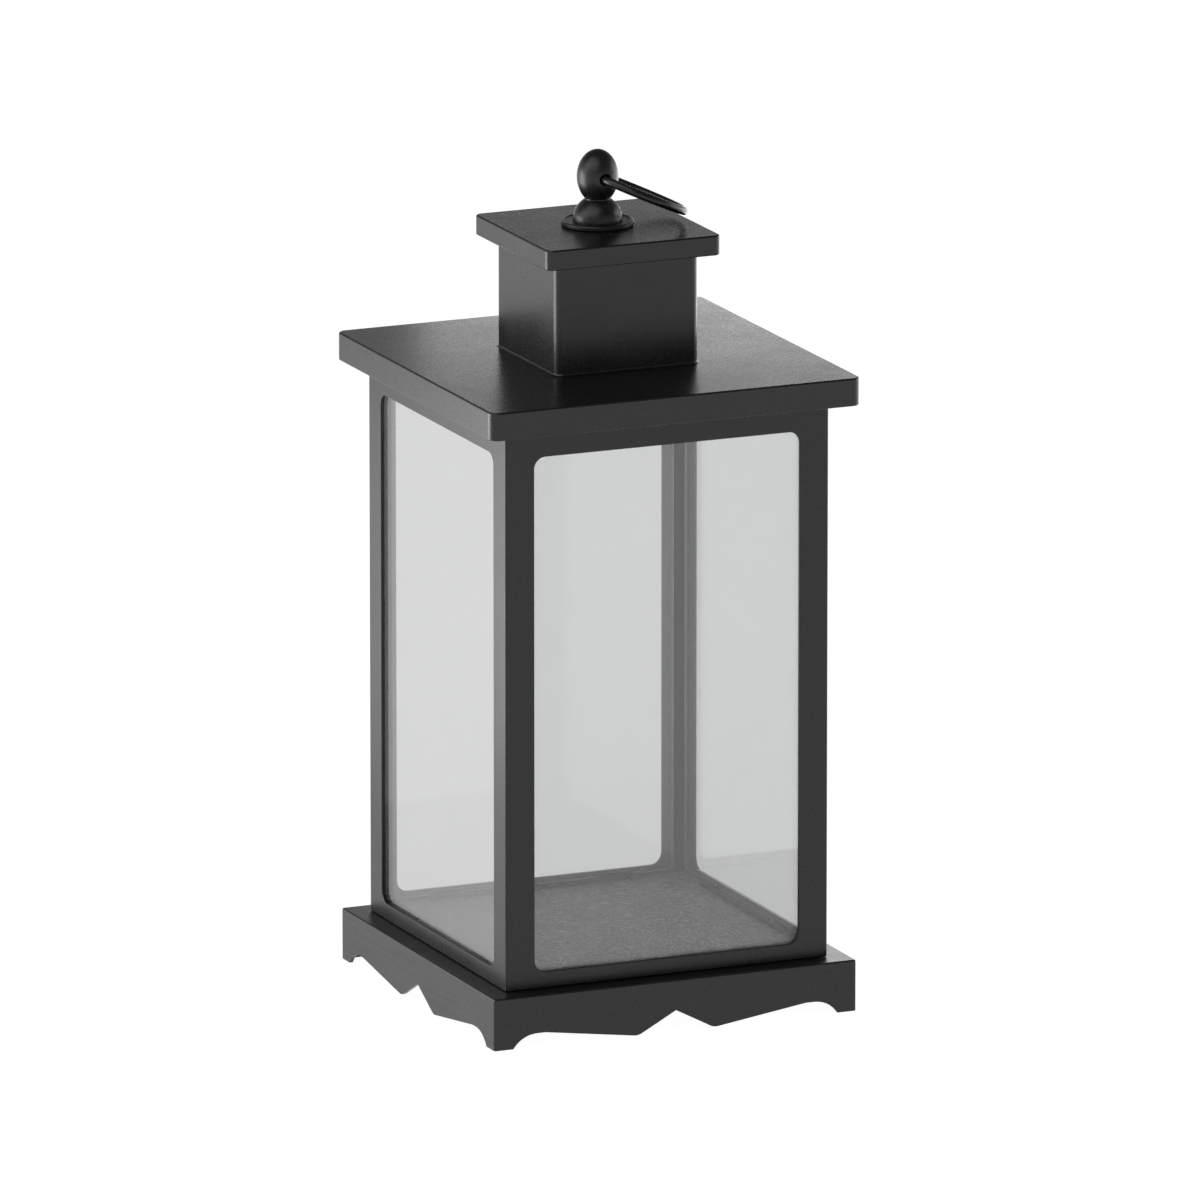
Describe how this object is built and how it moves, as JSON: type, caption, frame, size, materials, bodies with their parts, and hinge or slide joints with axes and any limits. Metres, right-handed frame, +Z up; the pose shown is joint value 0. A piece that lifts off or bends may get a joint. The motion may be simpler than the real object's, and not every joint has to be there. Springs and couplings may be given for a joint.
{
  "type": "candle lantern",
  "caption": "Square black metal candle lantern with clear panes, scalloped base, stepped roof with chimney and cap, and a swinging ring handle; the glazed body lifts off its base.",
  "frame": {"origin": "on the floor, at the middle of the base", "axes": "+Z up, -Y out of the front face, +X to the right of the front; the ring leans to +X at rest"},
  "size_m": [0.13, 0.13, 0.2799],
  "materials": {
    "base_paint": "satin black powder coat",
    "tray_paint": "satin black powder coat",
    "wall_paint": "fine sandy black powder coat",
    "roof_paint": "satin black powder coat",
    "finial_paint": "satin black enamel",
    "ring_wire": "satin black enamel on steel wire",
    "zinc_steel": "zinc plated",
    "clear_glass": "clear float glass, ground edges"
  },
  "bodies": {
    "base": {"base_plinth": "base_paint", "floor_tray": "tray_paint"},
    "glazed_body": {"front_wall": "wall_paint", "right_wall": "wall_paint", "back_wall": "wall_paint", "left_wall": "wall_paint", "front_glass": "clear_glass", "right_glass": "clear_glass", "back_glass": "clear_glass", "left_glass": "clear_glass", "front_lower_clip": "wall_paint", "front_upper_clip": "wall_paint", "right_lower_clip": "wall_paint", "right_upper_clip": "wall_paint", "back_lower_clip": "wall_paint", "back_upper_clip": "wall_paint", "left_lower_clip": "wall_paint", "left_upper_clip": "wall_paint", "roof_shell": "roof_paint", "chimney_box": "roof_paint", "cap_plate": "roof_paint", "finial": "finial_paint", "finial_rod": "zinc_steel", "rod_washer": "zinc_steel", "rod_nut": "zinc_steel"},
    "ring": {"ring_handle": "ring_wire"}
  },
  "joints": [
    {"name": "body_lift", "type": "slide", "parent": "base", "child": "glazed_body", "axis": [0, 0, 1], "range_m": [0, 0.16]},
    {"name": "ring_swing", "type": "hinge", "parent": "glazed_body", "child": "ring", "pos_m": [0, 0, 0.2709], "axis": [0, -1, 0], "range_deg": [-2, 230]}
  ]
}
